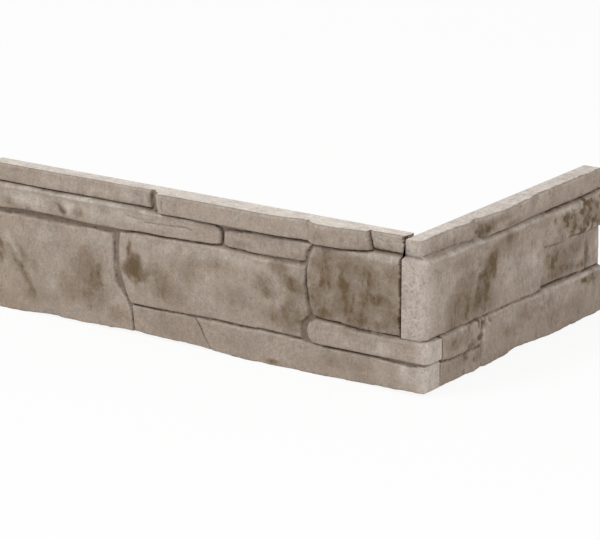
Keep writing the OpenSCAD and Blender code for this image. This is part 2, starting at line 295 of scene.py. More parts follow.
def scored(u, z, lines):
    """Grooves along broken lines, each given by its points, width and strength: the
    greatest of strength exp(-(d/width)^2) over the straight runs, with d the distance
    to the run, bent a little by noise."""
    mark = np.zeros_like(u)
    bent_u = u + 1.2 * layered(u, z, 6.0, 811, 3)
    bent_z = z + 1.2 * layered(u, z, 6.0, 812, 3)
    for points, width, strength in lines:
        for (u0, z0), (u1, z1) in zip(points[:-1], points[1:]):
            du, dz = u1 - u0, z1 - z0
            t = np.clip(((bent_u - u0) * du + (bent_z - z0) * dz) / (du * du + dz * dz), 0, 1)
            d = np.hypot(bent_u - u0 - t * du, bent_z - z0 - t * dz)
            mark = np.maximum(mark, strength * np.exp(-(d / width) ** 2))
    return mark


def blotted(u, z, spots, seed):
    """Soft spots: each is strength times (1 - q^2)^2 inside its tilted oval, with q
    the distance as a share of the oval's radius, torn by noise. They add up to a sum m
    and give 1 - exp(-1.25 m)."""
    mark = np.zeros_like(u)
    torn = 0.5 * layered(u, z, 13.0, seed, 5, 0.68)
    for u0, z0, wide, high, tilt, strength in spots:
        c, s = math.cos(math.radians(tilt)), math.sin(math.radians(tilt))
        a = ((u - u0) * c + (z - z0) * s) / wide
        b = (-(u - u0) * s + (z - z0) * c) / high
        q = np.clip(np.hypot(a, b) + torn, 0, 1)
        mark += strength * (1 - q * q) ** 2
    return 1 - np.exp(-1.25 * mark)


def two_way(faces):
    """Cuts each four-cornered face into two triangles."""
    return np.concatenate([faces[:, [0, 1, 2]], faces[:, [0, 2, 3]]])


def fan(edge, low, high):
    """Triangles from a row of edge points to two far points: the lower half of the
    row goes to the low point, the upper half to the high one."""
    half = len(edge) // 2
    lower = [(edge[k], edge[k + 1], low) for k in range(half)]
    upper = [(edge[k], edge[k + 1], high) for k in range(half, len(edge) - 1)]
    return np.array(lower + [(edge[half], low, high)] + upper)


def cast_panel(name, u, d, z, end_u, end_dirt_and_shade, step, turn, rows, marks, to_world):
    """Closed shell of a panel from its worked front. The front is a grid of columns
    along the leg and rows up it. The foot, the top and the two ends run from the
    front's edge to the flat back in as many steps as there are columns before the
    turn. The rows change group at the step: rows says whether the low ones and the
    high ones begin with the first column or at the turn. The back is tall strips."""
    columns, levels = u.shape
    t = np.linspace(1, 0, turn + 1)
    low_start, high_start = (0 if run else turn for run in rows)
    cut_grain = 0.12
    end_raw = 0.42

    def spread(edge):
        return np.repeat(edge[:, None], turn + 1, 1)

    sheets = [(np.stack([u, d, z], -1), marks)]
    for level, start, inwards in ((0, low_start, 1), (levels - 1, high_start, -1)):
        edge = d[start:, level, None]
        pu, pd, pz = spread(u[start:, level]), edge * t, spread(z[start:, level])
        grain = cut_grain * (1 + layered(pu, pd, 3.0, 61, 3)) * np.minimum(1, pd / 1.5)
        grain *= np.minimum(1, (edge - pd) / 1.5)
        tones = {key: spread(value[start:, level]) for key, value in marks.items()}
        tones["raw"] = np.ones_like(pu)
        # Stain, and the joints' dirt and painted shade, fade out within a few mm behind the front's edge
        tones["stain"] = tones["stain"] * np.clip(1 - (edge - pd) / 3, 0, 1)
        tones["joint"] = tones["joint"] * np.clip(1 - (edge - pd) / 2, 0, 1)
        sheets.append((np.stack([pu, pd, pz + inwards * grain], -1), tones))
    # The end sheets carry the given dirt and painted shade at the corner end, and none at the far end
    for column, pu, dirt_and_shade in ((0, end_u, end_dirt_and_shade), (columns - 1, spread(u[-1]), 0 * end_dirt_and_shade)):
        tones = {key: spread(value[column]) for key, value in marks.items()}
        tones["raw"] = np.full_like(pu, end_raw)
        tones["stain"] = tones["stain"] * 0.5
        tones["joint"] = spread(dirt_and_shade)
        sheets.append((np.stack([pu, d[column, :, None] * t, spread(z[column])], -1), tones))

    points, faces, values, count = [], [], {key: [] for key in marks}, 0
    for grid, tones in sheets:
        n, m = grid.shape[:2]
        index = count + np.arange(n * m).reshape(n, m)
        quads = np.stack([index[:-1, :-1], index[1:, :-1], index[1:, 1:], index[:-1, 1:]], -1)
        faces.append(two_way(quads.reshape(-1, 4)))
        points.append(grid.reshape(-1, 3))
        for key in marks:
            values[key].append(tones[key].reshape(-1))
        count += n * m
    back = np.stack([u, np.zeros_like(u), z], -1)
    back[0, :, 0] = end_u[:, -1]
    index = count + np.arange(columns * levels).reshape(columns, levels)
    points.append(back.reshape(-1, 3))
    for key in marks:
        values[key].append(np.full(columns * levels, 1.0 if key == "raw" else 0.0))
    for low, high, first in ((0, step, low_start), (step, step + 1, 0),
                             (step + 1, levels - 1, high_start)):
        left, right = index[first:columns - 1], index[first + 1:columns]
        if high - low > 1:
            for outer, inner in ((first, first + 1), (columns - 1, columns - 2)):
                faces.append(fan(index[outer, low:high + 1], index[inner, low], index[inner, high]))
            left, right = left[1:-1], right[1:-1]
        strips = np.stack([left[:, low], right[:, low], right[:, high], left[:, high]], -1)
        faces.append(two_way(strips))

    points = np.concatenate(points)
    faces = np.concatenate(faces)
    _, kept, merged = np.unique(np.round(points * 1e4).astype(np.int64), axis=0,
                                return_index=True, return_inverse=True)
    faces = merged.reshape(-1)[faces]
    faces = faces[np.all(faces != np.roll(faces, 1, axis=1), axis=1)]
    used = np.unique(faces)
    place = np.zeros(len(kept), np.int64)
    place[used] = np.arange(len(used))
    kept, faces = kept[used], place[faces]
    mesh = bpy.data.meshes.new(name)
    mesh.from_pydata(to_world(points[kept]).tolist(), [], faces.tolist())
    for key in marks:
        layer = mesh.attributes.new(key, "FLOAT", "POINT")
        layer.data.foreach_set("value", np.concatenate(values[key])[kept].astype(np.float32))
    shell = bmesh.new()
    shell.from_mesh(mesh)
    bmesh.ops.recalc_face_normals(shell, faces=shell.faces)
    shell.to_mesh(mesh)
    shell.free()
    mesh.polygons.foreach_set("use_smooth", np.ones(len(mesh.polygons), bool))
    mesh.set_sharp_from_angle(angle=math.radians(52))
    piece = bpy.data.objects.new(name, mesh)
    scene.collection.objects.link(piece)
    return piece


long_length = round(-1000 * cad_bounds[0][0], 1)
long_height = round(1000 * cad_bounds[1][2], 1)
# Stones from the top course down, each course from the far end to the corner. Keys are
# [u low, u high, z low, z high, depth, bow]; edge, near and far are the radii of the
# rounded edges and of both ends, bed is the depth of the joints beside the stone,
# ragged and lump the heights of the edge's wander and of the face's unevenness.
long_stones = [
    {"keys": [[197, 197, 88, long_height, 11.4], [237, 237, 88, long_height, 11.8],
              [278, 278, 88, long_height, 12.5],
              [long_length, long_length, 88, long_height, 12.2]],
     "near": 0, "near_line": [(88, 195.3), (93.5, 196.4), (100, 196.2)], "far": 0,
     "flat_head": True, "edge": 1, "lump": 0.35, "ragged": 0.3},
    {"keys": [[24, 27.2, 88.4, long_height, 14.8], [32, 33, 87.4, long_height, 16],
              [45, 45, 86.8, long_height, 18.6], [62, 62, 86.7, long_height, 19.6],
              [66, 66, 86.8, long_height, 18.4], [71, 71, 86.9, long_height, 14.6],
              [77, 77, 87, long_height, 14.4], [90, 90, 87, long_height, 17.2],
              [104, 104, 87.3, long_height, 18.2], [136, 136, 87, long_height, 17.8],
              [170, 170, 87.2, long_height, 17.6], [187, 189, 87.4, long_height, 18.4]],
     "far": 0, "far_line": [(87, 185.6), (100, 187.6)], "flat_head": True, "bed": 4.4, "edge": 1.2,
     "lump": 0.45},
    {"keys": [[0.9, 0.9, 88.4, long_height, 10.6], [14, 14, 88.6, long_height, 11.2],
              [22.8, 26, 89.2, long_height, 11.8]],
     "near": 0.4, "flat_head": True, "edge": 1.1, "lump": 0.5, "layers": 0.6},
    {"keys": [[140, 146, 73.2, 85.6, 13.6], [147, 151, 72.6, 85.8, 14.8],
              [170, 171, 72.2, 85.9, 15.4], [195, 195, 71.7, 86.2, 15.5],
              [214, 214, 71, 86.8, 15.3], [251, 251, 71, 86.8, 15.8], [278, 278, 71.6, 86.5, 15],
              [300, 300, 71.6, 86.8, 15.2], [long_length, long_length, 70, 86.8, 15.6]],
     "near": 0, "near_line": [(73.2, 139.6), (81, 139.6), (84, 141), (86, 145)],
     "far": 0, "bed": 3.2, "edge": 1.3, "lump": 0.45, "layers": 0.5},
    {"keys": [[75, 71, 72.2, 84.4, 12.6], [81, 79, 72, 85.1, 13.4], [97, 97, 71.8, 84.9, 13.8],
              [113, 113, 71.6, 85.1, 13.5], [123, 123, 72.4, 84, 13.6],
              [132.6, 132, 72.2, 83.5, 13.2], [137, 136.6, 73.2, 82.6, 12.6]],
     "near": 0, "near_line": [(72, 74.5), (78.9, 73), (84.9, 68.4)], "lump": 0.5, "edge": 1.3},
    {"keys": [[218, 218, 2.4, 66.2, 13.2], [246, 246, 1.5, 67, 13.6], [278, 278, 1.6, 66, 13.8],
              [304, 304, 0, 67.2, 13.5], [long_length, long_length, 0, 65.6, 13.8]],
     "near": 0, "near_line": [(2.8, 210.4), (14.8, 211.9), (23.9, 215.2), (29.9, 220.4), (34, 224.2),
                              (41.4, 225.4), (58.4, 225.6), (66.5, 226.4)],
     "far": 0, "edge": 1.2, "lump": 0.65, "ragged": 0.7},
    {"keys": [[84, 84, 22.6, 69.6, 15], [100, 100, 23, 69.4, 15.4], [122, 122, 22.2, 70, 15],
              [141, 141, 22.6, 70.8, 14.6], [170, 170, 22, 70.6, 14.4], [196, 196, 21.8, 70, 15],
              [212, 212, 21.8, 69, 14.4]],
     "near": 0, "near_line": [(22, 75.6), (33, 75.3), (36, 72.5), (38.5, 69.7), (46, 71.6), (57.5, 73.2),
                              (67.3, 73.6), (72.7, 72.4)],
     "far": 0, "far_line": [(21.8, 210.6), (24.1, 213), (31.2, 215.8), (38.9, 218.4), (44.2, 219.8),
                            (52.9, 220.6), (63.2, 220.3), (68.7, 219.3)],
     "edge": 1.2, "lump": 0.6},
    {"keys": [[0.9, 0.9, 36.1, 87, 14.7], [19, 19, 35.9, 86.8, 15.2], [32, 32, 36.1, 86, 15.6],
              [47, 47, 37.5, 85.6, 15.2], [58, 58, 37.8, 85.4, 14.9], [68, 68, 38.1, 84.8, 14.2]],
     "near": 0.5, "far": 0, "far_line": [(37, 65.9), (47, 69.9), (57.8, 71.8), (67.6, 72.2), (75.9, 69.9),
                                         (83.6, 66.2)],
     "lump": 1.0, "edge": 1.5},
    {"keys": [[-20.5, -20.5, 21.9, 35.2, 18], [-8, -8, 21.8, 35.2, 18.6],
              [0, 0, 21.8, 35.2, 18.2], [6, 6, 21.8, 34.8, 18], [32, 32, 21.2, 34.6, 17.6],
              [47, 47, 21.2, 36.4, 17.4], [61, 60, 20.8, 36.6, 17], [68, 68, 20.8, 36.6, 16.2]],
     "near": 0, "nose": 4.6,
     "far": 0, "far_line": [(20.9, 66.7), (25, 69.8), (30.2, 70.6), (33.8, 69), (36.4, 65)],
     "bed": 3, "edge": 1.3, "lump": 0.45, "ragged": 0.25},
    {"keys": [[146.2, 159.4, 1.3, 20.5, 14], [168, 174, 2.1, 20.8, 13.9],
              [190, 190, 2.1, 20.6, 13.6], [209.3, 211, 2.4, 20.6, 13]],
     "lump": 0.5, "edge": 0.9},
    {"keys": [[-19, -19, 2.4, 20.2, 17], [-8, -8, 2.3, 18.6, 17], [6, 6, 1.5, 18.8, 16.4],
              [19, 19, 1.2, 19.8, 15.8], [40, 40, 0.6, 19.6, 15.4], [54, 54, 0, 19.5, 15.2],
              [78, 78, 0, 20.8, 15], [100, 100, 0, 21.8, 15.4], [124, 124, 0, 20.8, 15],
              [135, 140, 0.4, 21.2, 14.8], [145.9, 159, 1, 20.8, 14.2]],
     "near": 0, "nose": 4.6, "edge": 1.1, "lump": 0.5},
]
# Wavy foot: (u, z)
long_foot = np.array([
    [-20.5, 2.4], [-6, 2.3], [9, 1.3], [31, 1], [54, 0], [124, 0], [140, 0.5], [155, 2.2],
    [180, 2], [212, 2.4], [246, 1.5], [278, 1.6], [304, 0], [long_length, 0]])
# Cracks: (points (u, z), width, strength)
long_cracks = [
    ([(198, 79), (186, 78.6), (176, 80.2), (160, 80.6)], 0.5, 0.6),
    ([(214, 81.6), (200, 80.4), (190, 80.8)], 0.4, 0.4),
    ([(269, 79), (267, 76), (264, 75)], 1.2, 0.6),
    ([(233, 53), (230.5, 47), (232, 42)], 0.5, 0.4),
    ([(157, 18), (152, 9), (145, 1)], 0.5, 0.4),
    ([(108, 57), (101, 50), (95, 42)], 0.5, 0.25),
    ([(71, 100), (69.5, 92), (72, 87)], 0.7, 0.4),
    ([(183, 96), (182, 93), (184, 91), (182.5, 90)], 0.4, 0.5),
    ([(21, 97), (15, 94), (12, 94.5)], 0.4, 0.35),
    ([(16, 93), (9, 91)], 0.4, 0.3),
]
# Brown stains: (u, z, half width, half height, tilt in degrees, strength)
long_spots = [
    (267, 77, 6, 4, 40, 0.95), (271, 81, 5, 4, 0, 0.4), (253, 77, 5, 4, 0, 0.4),
    (311, 77, 14, 5, 10, 0.35), (295, 73, 3, 3, 0, 0.4), (319, 44, 13, 2.8, 66, 0.5),
    (309, 39, 16, 4, 54, 0.5), (300, 27, 13, 4.5, 58, 0.45), (293, 15, 9, 4, 62, 0.35),
    (302, 42, 13, 4, 50, 0.4), (298, 38, 14, 8, 50, 0.25), (308, 36, 22, 12, 55, 0.3),
    (322, 36, 9, 7, 0, 0.4), (246, 40, 14, 16, 0, 0.5), (240, 35, 7, 12, 0, 0.35),
    (236, 47, 5, 9, 0, 0.3), (239, 22, 16, 12, 0, 0.35), (262, 24, 22, 14, 0, 0.25),
    (272, 42, 75, 32, 0, 0.12), (70, 14, 60, 14, 0, 0.12), (180, 12, 30, 12, 0, 0.15),
    (285, 14, 22, 8, 0, 0.3), (222, 12, 12, 10, 0, 0.3), (208.5, 47, 13, 9, -25, 1.9),
    (207, 50, 7, 9, 0, 0.9), (202, 42, 14, 7, -20, 1.3), (212, 58, 2.6, 13, 8, 0.9),
    (192, 46, 13, 9, 0, 0.4), (190, 36, 20, 12, 0, 0.4), (176, 34, 20, 12, 0, 0.35),
    (165, 50, 16, 14, 0, 0.25), (83, 58, 11, 8, 0, 1.4), (92, 66, 12, 6, 0, 0.6),
    (103, 51, 15, 11, 30, 0.5), (101, 48, 5, 6, 0, 0.35), (82, 44, 13, 26, 0, 0.45),
    (84, 34, 15, 13, 0, 0.5), (98, 34, 18, 12, 0, 0.35), (130, 40, 30, 12, 0, 0.25),
    (140, 60, 30, 6, 0, 0.2), (34, 60, 52, 36, 0, 0.75), (43, 63, 6, 8, 60, 0.8),
    (22, 67, 6, 5.5, 0, 0.8), (14, 56, 11, 7, 20, 0.8), (8, 46, 10, 14, 0, 0.55),
    (62, 50, 9, 14, 0, 0.35), (55, 62, 12, 14, 0, 0.35), (38, 45, 9, 7, 0, 0.5),
    (48, 50, 8, 8, 0, 0.45), (22, 41, 14, 6, 0, 0.6), (56, 41, 12, 6, 0, 0.6),
    (32, 40, 16, 4, 0, 0.5), (62, 76, 8, 8, 0, 0.35), (54, 80, 9, 6, 0, 0.4),
    (30, 74, 26, 6, 0, 0.3), (8, 76, 9, 9, 0, 0.4), (97, 3, 10, 2.5, 0, 0.6),
    (24, 29, 14, 4, 0, 0.2), (130, 10, 20, 7, 0, 0.2), (40, 12, 22, 7, 0, 0.2),
    (125, 76, 12, 5, 0, 0.35), (80, 74, 9, 5, 0, 0.4), (196, 93, 4, 8, 0, 0.5),
    (60, 92, 10, 8, 0, 0.25),
]
# Pale weathered places, and thin painted highlights along the stones' upper ledges, in the same terms
long_washes_and_highlights = [
    (20, 84.5, 30, 3.4, 0, 1.2), (262, 86.8, 70, 2.4, 0, 1.3), (175, 85.5, 36, 1.6, 0, 0.8),
    (300, 80, 40, 5, 0, 0.5), (140, 64, 60, 7, 0, 0.4), (206, 66, 8, 5, 0, 0.5),
    (312, 48, 14, 4.5, 56, 0.35), (303, 33, 13, 3, 56, 0.35), (280, 80, 70, 7, 0, 0.45),
    (150, 40, 30, 16, 0, 0.25), (20, 28, 40, 6, 0, 0.6), (-10, 14, 14, 12, 0, 0.6),
    (60, 15, 40, 8, 0, 0.35), (290, 58, 30, 9, 0, 0.35), (245, 60, 30, 6, 0, 0.3),
    (40, 68, 20, 3, 20, 0.4), (35, 54, 20, 2.5, -25, 0.4), (52, 56, 3, 12, 10, 0.4),
    (240, 94, 90, 8, 0, 0.3), (215, 80, 60, 6, 0, 0.4), (20, 95, 20, 5, 0, 0.4),
    (275, 30, 9, 20, 20, 0.3),
]

# The front's grid has columns round the corner end, then along the leg, and rows up
# the low courses, then up the high ones. Only one group of rows turns the end.
turn_steps = 24
long_columns = 436
low_rows = 48
high_rows = 90
level = np.arange(low_rows + high_rows + 2)
is_low = (level <= low_rows)[None, :]
share_low = np.minimum(level / low_rows, 1)[None, :]
share_high = np.clip((level - low_rows - 1) / high_rows, 0, 1)[None, :]


def column_places(count):
    """Place of each column, from 0 to 1 round the end and from 1 to 2 along the leg;
    the share of the way out to the leg, to the power 1.6 so that columns are close at
    the end's edge; and the share of the way along the leg."""
    round_end = np.linspace(0, 1, turn_steps + 1)
    column = np.concatenate([round_end, 1 + np.arange(1, count + 1) / count])[:, None]
    return column, np.minimum(column, 1) ** 1.6, np.maximum(column - 1, 0)


def end_line(z, courses, bottom):
    """How far the corner end reaches at each height: each course (reach, z low,
    z high, radius) stands out less the drop of its rounded edges, and the joints are
    cut to the bottom."""
    reach = np.full_like(z, bottom)
    for out, low, high, r in courses:
        reach = np.maximum(reach, out - rounded(np.minimum(z - low, high - z), r))
    return -reach


def torn_end(depth, z, size, height, seed):
    """Roughness of the cut end face: the height times the size of layered noise, less
    within a millimetre of the back."""
    return height * np.abs(layered(depth, z, size, seed, 3)) * np.minimum(1, depth)


# The high courses start at the seam; the fingers lie between their foot and top, run
# to their own ends past the corner, and have a joint between them. The last rows of
# the low courses and the first of the high ones lie a row gap apart.
seam = 0.9
finger_foot = 2.4
finger_top = 35.2
finger_ends = [(19.0, finger_foot, 20.3, 1.3), (20.5, 21.2, 35.6, 1.2)]
finger_joint = 17.2
row_gap = 0.05
# Height above which the end face of the high courses, at the seam, takes only a little painted shade
tip_foot = 96
# Depth of the joints below the faces, of the cracks, and of the torn edge at the seam
long_bed = 1.8
long_crack = 1.1
torn_depth = 3.0
# Least and greatest depth of the worked front in front of the back
thinnest = 6.5
long_limit = 20.15

column, nearer, further = column_places(long_columns)
z_flat = 0 * column + np.where(
    is_low, finger_foot + (finger_top - finger_foot) * share_low,
    finger_top + row_gap + (long_height - finger_top - row_gap) * share_high)
long_end = end_line(z_flat[0], finger_ends, finger_joint)
u = np.where(is_low & (column < 1), long_end + (seam - long_end) * nearer,
             seam + (long_length - seam) * further)
ground = np.interp(u, long_foot[:, 0], long_foot[:, 1])
z = np.where(is_low, ground + (finger_top - ground) * share_low, z_flat)
d, inside = carved(u, z, long_stones, long_bed)
cracks = scored(u, z, long_cracks)
torn_seam = np.clip((seam + 1.0 + 1.5 * layered(z, u, 2.4, 77, 3) - u) / 0.4, 0, 1)
torn_seam = torn_seam * (z > finger_top)
d = np.clip(d - long_crack * cracks - torn_depth * torn_seam, thinnest, long_limit)
d = np.where((column < 1) & ~is_low, d * nearer, d)
end_d = d[0, :, None] * np.linspace(1, 0, turn_steps + 1)
end_u = np.where(is_low.T, u[0, :, None] + torn_end(end_d, z[0, :, None], 3.0, 0.35, 70), seam)
u[0] = end_u[:, 0]
# Dirt and painted shade on the corner end: the fingers' end in its hollows, and the high courses' end
# face against the short panel dark as painted shade
end_dirt_and_shade = np.where(is_low[0], sunk(-u[:1], (1,))[0], np.where(z_flat[0] > tip_foot, 0.3, 1.0))
# Joint dirt with painted shade: darker where the front is sunk in joints, hollows and cracks
dirt_and_shade = np.where(column < 1.01, hollow(d, inside, (1,)), hollow(d, inside))
dirt_and_shade = np.maximum(dirt_and_shade, 0.8 * cracks)
# Painted shade and dirt along the torn edge of the seam, the gap between the two panels
dirt_and_shade = np.maximum(dirt_and_shade, torn_seam * np.where((column < 1) & (z > tip_foot), 0.3, 1.0))
long_panel = cast_panel(
    "long_casting", u, d, z, end_u, end_dirt_and_shade, low_rows, turn_steps, (True, False), {
        "stain": blotted(u, z, long_spots, 301),
        # Pale places plus painted highlights on the ledges and upper edges
        "wash": blotted(u, z, long_washes_and_highlights, 302) + 0.35 * crest_wear_and_highlight(d),
        "joint": dirt_and_shade,
        "raw": np.clip(0.55 - (u + 20.5) / 18, 0, 0.5) * (z < finger_top + 0.1)},
    lambda p: np.stack([-p[:, 0], -p[:, 1], p[:, 2]], -1) / 1000)
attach(long_panel, "root")
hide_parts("long_panel")


def concrete_group():
    """Node group for tinted cast concrete: a mottled base, lighter where the marks say, partly
    as painted highlight, brown stain, and dark joint dirt with painted shade where the marks say, pale
    raw concrete on the struck faces, fine grain."""
    group = bpy.data.node_groups.new("tinted_concrete", "ShaderNodeTree")
    face = group.interface
    for name in ("Base", "Wash", "Stain", "Dirt_and_shade", "Raw"):
        face.new_socket(name, in_out="INPUT", socket_type="NodeSocketColor")
    for name in ("Stain Mark", "Wash Mark", "Joint Mark", "Raw Mark", "Mottling"):
        face.new_socket(name, in_out="INPUT", socket_type="NodeSocketFloat")
    face.new_socket("Color", in_out="OUTPUT", socket_type="NodeSocketColor")
    face.new_socket("Roughness", in_out="OUTPUT", socket_type="NodeSocketFloat")
    face.new_socket("Height", in_out="OUTPUT", socket_type="NodeSocketFloat")
    nodes, links = group.nodes, group.links
    given = {socket.name: socket for socket in nodes.new("NodeGroupInput").outputs}
    result = nodes.new("NodeGroupOutput")
    place = nodes.new("ShaderNodeTexCoord").outputs["Object"]

    def cloud(scale, detail, stretch=(1, 1, 1), turn=(0, 0, 0), roughness=0.6):
        bend = nodes.new("ShaderNodeMapping")
        bend.inputs["Scale"].default_value = stretch
        bend.inputs["Rotation"].default_value = turn
        links.new(place, bend.inputs["Vector"])
        texture = nodes.new("ShaderNodeTexNoise")
        texture.inputs["Scale"].default_value = scale
        texture.inputs["Detail"].default_value = detail
        texture.inputs["Roughness"].default_value = roughness
        links.new(bend.outputs[0], texture.inputs["Vector"])
        return texture.outputs["Fac"]

    def reach(value, low, high, to_low=0.0, to_high=1.0):
        node = nodes.new("ShaderNodeMapRange")
        node.inputs["From Min"].default_value = low
        node.inputs["From Max"].default_value = high
        node.inputs["To Min"].default_value = to_low
        node.inputs["To Max"].default_value = to_high
        links.new(value, node.inputs["Value"])
        return node.outputs[0]

    def maths(kind, a, b):
        node = nodes.new("ShaderNodeMath")
        node.operation = kind
        for socket, value in zip(node.inputs, (a, b)):
            if isinstance(value, (int, float)):
                socket.default_value = value
            else:
                links.new(value, socket)
        return node.outputs[0]

    def blend(amount, a, b, kind="MIX"):
        node = nodes.new("ShaderNodeMix")
        node.data_type = "RGBA"
        node.blend_type = kind
        sockets = [s for s in node.inputs if s.enabled]
        for socket, value in zip(sockets, (amount, a, b)):
            if isinstance(value, (int, float)):
                socket.default_value = value
            else:
                links.new(value, socket)
        return [s for s in node.outputs if s.enabled][0]

    # Noise from clouds some 40 mm wide down to sand, the streaks and threads on a slant
    broad = cloud(26, 4)
    patch = cloud(95, 5)
    streak = cloud(130, 4, (1.0, 1.0, 0.35), (0.0, 0.5, 0.4))
    thread = cloud(400, 3, (1.0, 1.0, 0.45), (0.5, 0.5, 0.0), 0.7)
    grain = cloud(640, 3, roughness=0.75)
    pores = cloud(620, 2)
    mottling = given["Mottling"]

    # Washed base, partly painted highlight on the ledges and upper edges, then brown stains, and faint
    # brown all over
    lit = maths("MULTIPLY", given["Wash Mark"], reach(patch, 0.35, 0.65, 0.4, 1.3))
    pale = maths("ADD", lit, reach(broad, 0.35, 0.7, 0.0, 0.25))
    color = blend(pale, given["Base"], given["Wash"])
    stain = maths("MULTIPLY", given["Stain Mark"],
                  reach(maths("ADD", patch, streak), 0.75, 1.25, 0.55, 1.35))
    faint = reach(maths("ADD", streak, thread), 1.02, 1.4, 0.0, 0.5)
    faint = maths("MULTIPLY", faint, mottling)
    brown = maths("MINIMUM", maths("ADD", stain, faint), 0.94)
    color = blend(brown, color, given["Stain"])

    # Raw concrete on the struck faces, with pits where it is half worn
    raw = blend(reach(grain, 0.35, 0.65, 0.0, 0.45), given["Raw"], given["Wash"])
    clean = maths("SUBTRACT", 1.0, maths("MULTIPLY", stain, 0.8))
    color = blend(maths("MULTIPLY", given["Raw Mark"], clean), color, raw)
    worn = maths("MULTIPLY", given["Raw Mark"], reach(given["Raw Mark"], 0.5, 0.9, 1.0, 0.2))
    pits = maths("MULTIPLY", worn, reach(pores, 0.55, 0.67, 0.0, 0.7))
    color = blend(pits, color, given["Stain"])
    # Joint dirt together with painted shade in the joints, hollows, cracks and the gaps between the
    # panels
    color = blend(given["Joint Mark"], color, given["Dirt_and_shade"])

    # Lighter and darker dapples, and the sand's own grey
    dapple = maths("ADD", reach(patch, 0.3, 0.7, -0.5, 0.5), reach(thread, 0.35, 0.65, -0.5, 0.5))
    dapple = maths("ADD", dapple, reach(streak, 0.3, 0.7, -0.5, 0.5))
    dapple = maths("MULTIPLY", maths("MULTIPLY", dapple, 0.21), mottling)
    speckle = maths("MULTIPLY", maths("ADD", 1.0, dapple), reach(grain, 0.35, 0.65, 0.88, 1.12))
    shade = nodes.new("ShaderNodeCombineColor")
    for socket in shade.inputs:
        links.new(speckle, socket)
    color = blend(1.0, color, shade.outputs[0], "MULTIPLY")
    links.new(color, result.inputs["Color"])
    links.new(reach(grain, 0.3, 0.7, 0.86, 0.97), result.inputs["Roughness"])

    # Relief of sand and fine threads, with the pores sunk
    uneven = maths("ADD", maths("MULTIPLY", thread, 0.5), maths("MULTIPLY", patch, 0.5))
    height = maths("ADD", maths("MULTIPLY", grain, 0.45), uneven)
    height = maths("SUBTRACT", height, maths("MULTIPLY", reach(pores, 0.52, 0.7), 0.3))
    links.new(height, result.inputs["Height"])
    return group


concrete = concrete_group()


def concrete_finish(name, tones, mottling):
    """A matt concrete material: the group's colour and roughness with its own tones,
    and its height as a shallow bump."""
    material = bpy.data.materials.new(name)
    material.use_nodes = True
    nodes, links = material.node_tree.nodes, material.node_tree.links
    surface = nodes["Principled BSDF"]
    mixture = nodes.new("ShaderNodeGroup")
    mixture.node_tree = concrete
    for socket, tone in tones.items():
        mixture.inputs[socket].default_value = tone + (1.0,)
    mixture.inputs["Mottling"].default_value = mottling
    for mark in ("stain", "wash", "joint", "raw"):
        source = nodes.new("ShaderNodeAttribute")
        source.attribute_name = mark
        links.new(source.outputs["Fac"], mixture.inputs[mark.capitalize() + " Mark"])
    bump = nodes.new("ShaderNodeBump")
    bump.inputs["Strength"].default_value = 0.6
    bump.inputs["Distance"].default_value = 0.0018
    links.new(mixture.outputs["Height"], bump.inputs["Height"])
    links.new(bump.outputs[0], surface.inputs["Normal"])
    links.new(mixture.outputs["Color"], surface.inputs["Base Color"])
    links.new(mixture.outputs["Roughness"], surface.inputs["Roughness"])
    surface.inputs["Specular IOR Level"].default_value = 0.25
    return material


# The Dirt tone darkens the joints both as dirt and as painted shade
long_panel.data.materials.append(concrete_finish("long_panel_concrete", {
    "Base": (0.375, 0.303, 0.248), "Wash": (0.56, 0.505, 0.445), "Stain": (0.12, 0.075, 0.032),
    "Dirt_and_shade": (0.088, 0.053, 0.031), "Raw": (0.82, 0.75, 0.68)}, 1.0))


